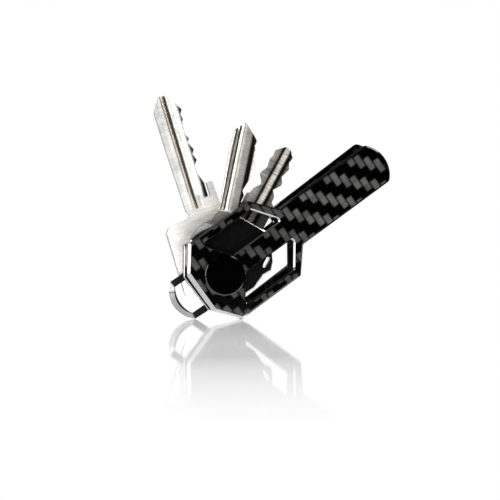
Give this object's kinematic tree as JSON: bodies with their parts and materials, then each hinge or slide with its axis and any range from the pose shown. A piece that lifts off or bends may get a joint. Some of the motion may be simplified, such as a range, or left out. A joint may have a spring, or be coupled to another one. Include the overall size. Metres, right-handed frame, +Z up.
{
  "type": "key organiser",
  "caption": "Folding key organiser: two carbon plates with a windowed hexagonal head and a long arm, keys fanned on one post, and a D-shaped loop for a ring.",
  "frame": {"origin": "inner edge of the key loop, half way through the loop plate, where a ring hangs", "axes": "+Z up, +Y from the front disc to the rear screw along the post, arm rising 35.95 degrees above +X"},
  "size_m": [0.079, 0.0189, 0.0756],
  "materials": {
    "carbon": "glossy clear coat over woven carbon",
    "loop_black": "gloss black",
    "disc_black": "satin black",
    "screw_black": "satin black",
    "gasket": "matt",
    "washer": "matt",
    "spring_steel": "satin",
    "dark_steel": "milled steel",
    "bow_plastic": "moulded, fine grain",
    "bright_steel": "polished steel",
    "nickel": "satin nickel plate"
  },
  "bodies": {
    "holder": {"front_plate": "carbon", "rear_plate": "carbon", "loop_plate": "loop_black", "pivot_post": "disc_black", "pivot_screw": "screw_black", "disc_gasket": "gasket", "front_washer": "washer", "middle_washer": "washer", "rear_washer": "washer", "loop_washer": "washer", "spring_washer": "spring_steel"},
    "key_small": {"small_key_blade": "dark_steel", "small_key_bow": "bow_plastic"},
    "key_middle": {"mid_key": "bright_steel"},
    "key_big": {"big_key": "nickel"}
  },
  "joints": [
    {"name": "small_key_swing", "type": "hinge", "parent": "holder", "child": "key_small", "pos_m": [0.01299, -0.00735, 0.00942], "axis": [0, -1, 0], "range_deg": [-25.46, 154.54]},
    {"name": "middle_key_swing", "type": "hinge", "parent": "holder", "child": "key_middle", "pos_m": [0.01299, -0.00455, 0.00942], "axis": [0, -1, 0], "range_deg": [-42.28, 137.72]},
    {"name": "big_key_swing", "type": "hinge", "parent": "holder", "child": "key_big", "pos_m": [0.01299, 0.00245, 0.00942], "axis": [0, -1, 0], "range_deg": [-71.26, 108.74]}
  ]
}
